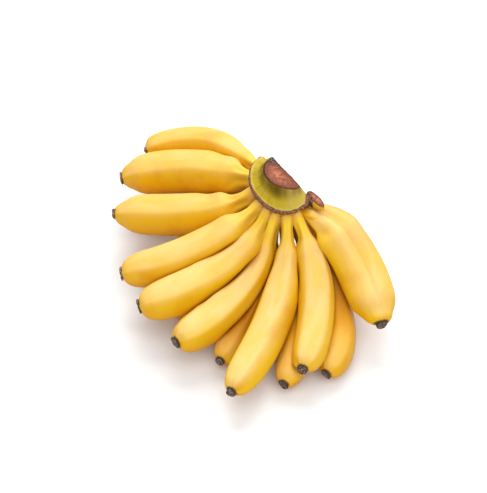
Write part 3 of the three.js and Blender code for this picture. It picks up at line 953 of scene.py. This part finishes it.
def cut_off(reach, distance, rise, least_rise, rounding, easing):
    """A reach that stops at a plane, with a rounded edge. Also how far off the plane is, which is
    far for directions that don't rise enough to meet it."""
    plane = np.where(rise > least_rise, distance / np.maximum(rise, least_rise), FAR)
    blend = np.clip(1 - np.abs(reach - plane) / rounding, 0, 1)
    return np.minimum(reach, plane) - easing * blend**2, plane


def crown_ring(wide, deep, height, angle, back_cut):
    """A level of the crown: an ellipse, cut straight across its back. Also the cut's share."""
    back = back_cut[0] + height * back_cut[1]
    middle = (deep + max(back, -deep)) / 2 - MIDDLE_SHIFT * deep
    x, y = np.cos(angle), np.sin(angle)
    a = (x / deep) ** 2 + (y / wide) ** 2
    b = x * middle / deep**2
    c = (middle / deep) ** 2 - 1
    ellipse = (np.sqrt(b * b - a * c) - b) / a
    reach, plane = cut_off(ellipse, middle - back, -x, BACK_LEAST, BACK_ROUNDING, BACK_EASING)
    points = np.stack([middle + reach * x, reach * y, np.full_like(x, height)], axis=-1)
    return points, fade(ellipse - plane, -BACK_SOFTNESS, BACK_SOFTNESS)


def bend_crown(rings, widest, rim_height):
    """Flattens and stretches the stump towards the twin, lets the collar sag and reach out there,
    and lifts the collar's other end and cuts it back. Also the share that is cut back."""
    x, y, z = np.moveaxis(rings, -1, 0)
    by_rim = fade(-z, 0, -rim_height) * fade(-z, -2 * rim_height, -rim_height)
    twinwards = fade(y, 0, STRETCH_SHARE * widest) * fade(z, 0.5 * rim_height, 0)
    lobe = by_rim * bell(np.arctan2(y, x), COLLAR_LOBE_TURN, COLLAR_LOBE_REACH)
    grown = 1 + COLLAR_LOBE / widest * lobe
    bent_x = x * (1 - STUMP_FLATTENING * twinwards) * grown
    bent_y = y * (1 + STUMP_STRETCH * twinwards) * grown
    lift = COLLAR_LIFT * by_rim * fade(-bent_y, LIFT_SHARE * widest, widest)
    bent_z = z + lift - COLLAR_SAG * lobe
    limit = (COLLAR_END + FAR) * fade(-bent_y, *COLLAR_END_RANGE) - FAR
    trimmed = fade(limit - bent_x, -CUT_SOFTNESS, CUT_SOFTNESS)
    return np.stack([np.maximum(bent_x, limit), bent_y, bent_z], axis=-1), trimmed


class CrownSkin:
    """The crown's rings of points in its own frame, from the middle of its cut face to its lowest
    level, and how far each point belongs to each region of it."""

    def __init__(self, levels, back_cut, roots):
        widest = levels[:, 0].max()
        rim_height = levels[np.argmax(levels[:, 0])][2]
        angle = turns(CROWN_LINES, 0.5)
        rows = [crown_ring(*level, angle, back_cut) for level in rounded(levels)]
        wall = np.array([points for points, _ in rows])
        wall_back = np.array([share for _, share in rows])
        shares = np.linspace(0, 1, FACE_STEPS, endpoint=False)[1:] ** 0.8
        face = FACE_CENTRE + (wall[0] - FACE_CENTRE) * shares[:, None, None]
        no_face = np.zeros_like(face[..., 0])
        self.rings, trimmed = bend_crown(np.concatenate([face, wall]), widest, rim_height)
        self.face_share = np.concatenate([shares, np.ones(len(wall))])[:, None]
        self.is_face = np.concatenate([np.ones(len(face)), np.zeros(len(wall))])[:, None]
        self.height = np.concatenate([no_face, wall[..., 2]])
        self.back = np.maximum(np.concatenate([no_face, wall_back]), trimmed)
        self.turn = np.arctan2(self.rings[..., 1], self.rings[..., 0] - TURN_CENTRE)
        self.mark_regions(rim_height, roots)

    def mark_regions(self, rim_height, roots):
        down = -self.height
        face_cut = np.maximum(self.is_face, 1 - fade(down, *CUT_EDGE_RANGE))
        self.cut = np.maximum(face_cut, self.back)
        edge = np.where(self.is_face > 0, 1 - self.face_share, 0)
        self.cut_edge = np.maximum(edge, fade(down, *BACK_EDGE_RANGE) * self.back)
        self.slope = fade(down, SLOPE_MARGIN, -rim_height - SLOPE_MARGIN)
        thickness = RIM_THIN + (RIM_THICK - RIM_THIN) * fade(self.turn, *RIM_TURN_RANGE)
        across = self.rings[..., :2] @ END_SCAR_ACROSS
        end_scar = fade(across, END_SCAR_PLACE, END_SCAR_PLACE + END_SCAR_FADE)
        rim = np.maximum(bell(self.height, rim_height, thickness, 4), end_scar)
        self.rim = rim * (1 - self.back)
        self.under = fade(down + rim_height, *UNDER_RANGE) * (1 - self.back)
        self.front = sum(share * bell(self.turn, at, reach) for share, at, reach in COLLAR_FRONTS)
        from_root = np.abs(self.turn[..., None] - roots).min(axis=-1)
        self.swell = bell(from_root, 0, ROOT_SWELL_REACH)
        from_nub = np.linalg.norm(self.rings - NUB_PLACE, axis=-1)
        self.nub = bell(from_nub, 0, NUB_REACH, 4)

    def around(self):
        """The crown laid out on a plain tube, where its streaks are read."""
        return on_tube(TURN_RADIUS, self.turn, self.height)

    def face_relief(self):
        """How far the cut face stands up: hollow, with a rind, a nub and rough flesh."""
        rings = self.rings
        hollow = -STUMP_HOLLOW * (1 - self.face_share**2)
        rind = STUMP_RIND * bell(self.face_share, RIND_PLACE, RIND_REACH)
        flesh = rough(rings, CUT_GRAINS)
        nub = NUB_HEIGHT * self.nub * (1 + rough(rings, NUB_GRAINS))
        return (hollow + rind + flesh + nub) * self.is_face

    def side_relief(self):
        """How far the sides stand out: streaks, the bark of the scar, the swellings that the
        fingers start from, and rough flesh down the back."""
        rings = self.rings
        streaks = rough(self.around() * STREAK_STRETCH, STREAK_GRAINS)
        bark = rough(rings, BARK_GRAINS) + BARK_THICKNESS
        flesh = streaks * fade(self.slope, *STREAK_RANGE) + rough(rings, FLESH_GRAINS)
        out = self.rim * bark + (1 - self.cut) * (1 - self.rim) * flesh
        out += ROOT_SWELL * self.swell * self.under + self.back * rough(rings, BACK_GRAINS)
        return out * (1 - self.is_face)

    def shaped(self):
        up = self.face_relief()
        relief = normals(self.rings) * self.side_relief()[..., None]
        relief[..., 2] += up
        return self.rings + relief

    def marks(self):
        """What the crown's material reads at each point."""
        regions = ("turn", "slope", "front", "under", "rim", "cut", "cut_edge")
        return {mark: getattr(self, mark) for mark in regions} | {
            "crown_place": self.rings,
            "around_place": self.around(),
            "nub": fade(self.nub, *NUB_RANGE) * self.cut,
            # painted shade between the fingers' roots, below the scar
            "crease_shade": 1 - self.swell,
        }


def make_crown(material):
    origin, axes = crown_frame()
    corners, _ = welded("crown")
    levels = crown_levels((corners - origin) @ axes.T)
    outline = levels[:-1] if levels[-1][0] < MM else levels
    skin = CrownSkin(outline, back_plane(origin, axes), root_turns(origin, axes))
    start = origin + (FACE_CENTRE - (0, 0, STUMP_HOLLOW)) @ axes
    end = origin + np.array([0, 0, levels[-1][2]]) @ axes
    crown = tube_object("crown_flesh", origin + skin.shaped() @ axes, start, end, skin.marks())
    dress(crown, material, "crown_flesh", "crown")
    make_shoulder(origin, axes, material)


def shoulder_directions():
    """Directions from the shoulder's middle to its rings, and how far each rises to the cut."""
    cut_up = unit(SHOULDER_CUT)
    side = unit(np.cross(cut_up, (1, 0, 0)))
    forward = np.cross(side, cut_up)
    from_top = np.linspace(0, math.pi, SHOULDER_RINGS + 2)[1:-1, None]
    angle = turns(SHOULDER_LINES)[None]
    circle = np.cos(angle)[..., None] * forward + np.sin(angle)[..., None] * side
    heads = np.cos(from_top)[..., None] * cut_up + np.sin(from_top)[..., None] * circle
    return heads, np.cos(from_top) * np.ones_like(angle), cut_up


def make_shoulder(origin, axes, material):
    """The crown's shoulder by the twin finger: an oval with a small cut across its top."""
    heads, rise, cut_up = shoulder_directions()
    oval = 1 / np.linalg.norm(heads / SHOULDER_SIZE, axis=-1)
    edge = SHOULDER_CUT_ROUNDING, SHOULDER_CUT_EASING
    reach, plane = cut_off(oval, SHOULDER_CUT_HEIGHT, rise, SHOULDER_LEAST, *edge)
    past_cut = oval - plane
    slim = 1 - SHOULDER_SLIMMING * fade(rise, *SHOULDER_SLIM_RANGE)
    rings = SHOULDER_MIDDLE + (reach * slim)[..., None] * heads
    cut = fade(past_cut, -CUT_SOFTNESS, CUT_SOFTNESS)
    out = cut * rough(rings, SHOULDER_CUT_GRAINS) + SHOULDER_LIP * bell(past_cut, 0, SHOULDER_LIP_REACH)
    out += (1 - cut) * rough(rings, SHOULDER_SKIN_GRAINS)
    scar_end = SHOULDER_SCAR_END + SHOULDER_SCAR_FADE
    scar = fade(rings[..., 1], scar_end, SHOULDER_SCAR_END) * (1 - cut)
    marks = {
        "crown_place": rings,
        "around_place": rings,
        "under": 1 - SHOULDER_COLLAR * bell(past_cut, 0, SHOULDER_COLLAR_REACH),
        "rim": np.maximum(bell(past_cut, 0, SHOULDER_RIM_REACH), scar),
        "cut": cut,
        "cut_edge": np.clip((oval / plane - 1) / SHOULDER_ORANGE, 0, 1),
    }
    marks |= {mark: np.full_like(reach, value) for mark, value in SHOULDER_MARKS.items()}
    shape = origin + (rings + out[..., None] * heads) @ axes
    top = origin + (SHOULDER_MIDDLE + SHOULDER_CUT_HEIGHT * cut_up) @ axes
    shoulder = tube_object("crown_shoulder", shape, top, shape[-1].mean(axis=0), marks)
    dress(shoulder, material, "crown_flesh")


# ---- the hand ----

FINGER_NAMES = sorted(
    name.removeprefix("finger_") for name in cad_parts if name.startswith("finger_")
)
PEEL_SEED = 100
FLOWER_SEED = 500
SEED_STEP = 10

peel = peel_material()
flower = flower_material()
for number, finger_name in enumerate(FINGER_NAMES):
    make_finger(finger_name, PEEL_SEED + SEED_STEP * number, peel)
    make_blossom(finger_name, FLOWER_SEED + SEED_STEP * number, flower)
make_crown(crown_material())

# ---- stage ----

AIM = Vector((-4.3, 7.2, 45.0)) * MM
CAMERA_DISTANCE = 1.036
CAMERA_HEIGHT = math.radians(48)
CAMERA_LENS = 85
CAMERA_SENSOR = 36
FLOOR_HALF = 10.0
SKY_STRENGTH = 0.57
# The light behind the hand, and a weaker one before it: name, place, width, power and colour.
LIGHTS = [
    ("key", (0.05, 0.85, 1.05), 1.2, 18, DAYLIGHT),
    ("fill", (0.1, -0.6, 1.15), 1.6, 12.5, WHITE),
]


def make_floor():
    corners = [(x, y, 0) for x, y in ((-1, -1), (1, -1), (1, 1), (-1, 1))]
    mesh = bpy.data.meshes.new("floor")
    mesh.from_pydata([Vector(corner) * FLOOR_HALF for corner in corners], [], [(0, 1, 2, 3)])
    mesh.materials.append(floor_material())
    floor = bpy.data.objects.new("floor", mesh)
    bpy.context.scene.collection.objects.link(floor)


def aimed(name, data, place):
    """A camera or a light at a place, turned to look at the hand."""
    made = bpy.data.objects.new(name, data)
    bpy.context.scene.collection.objects.link(made)
    made.location = place
    made.rotation_euler = (AIM - Vector(place)).to_track_quat("-Z", "Y").to_euler()
    return made


def make_light(name, place, width, power, colour):
    light = bpy.data.lights.new(name, "AREA")
    light.shape = "DISK"
    light.size = width
    light.energy = power
    light.color = colour
    aimed(name, light, place)


def make_camera():
    camera = bpy.data.cameras.new("camera")
    camera.lens = CAMERA_LENS
    camera.sensor_width = CAMERA_SENSOR
    back = Vector((0, -math.cos(CAMERA_HEIGHT), math.sin(CAMERA_HEIGHT)))
    bpy.context.scene.camera = aimed("camera", camera, AIM + CAMERA_DISTANCE * back)


def make_world():
    world = bpy.data.worlds.new("studio")
    world.use_nodes = True
    background = world.node_tree.nodes["Background"]
    background.inputs["Color"].default_value = (*WHITE, 1)
    background.inputs["Strength"].default_value = SKY_STRENGTH
    bpy.context.scene.world = world


make_floor()
for light in LIGHTS:
    make_light(*light)
make_world()
make_camera()
bpy.context.scene.view_settings.view_transform = "Standard"
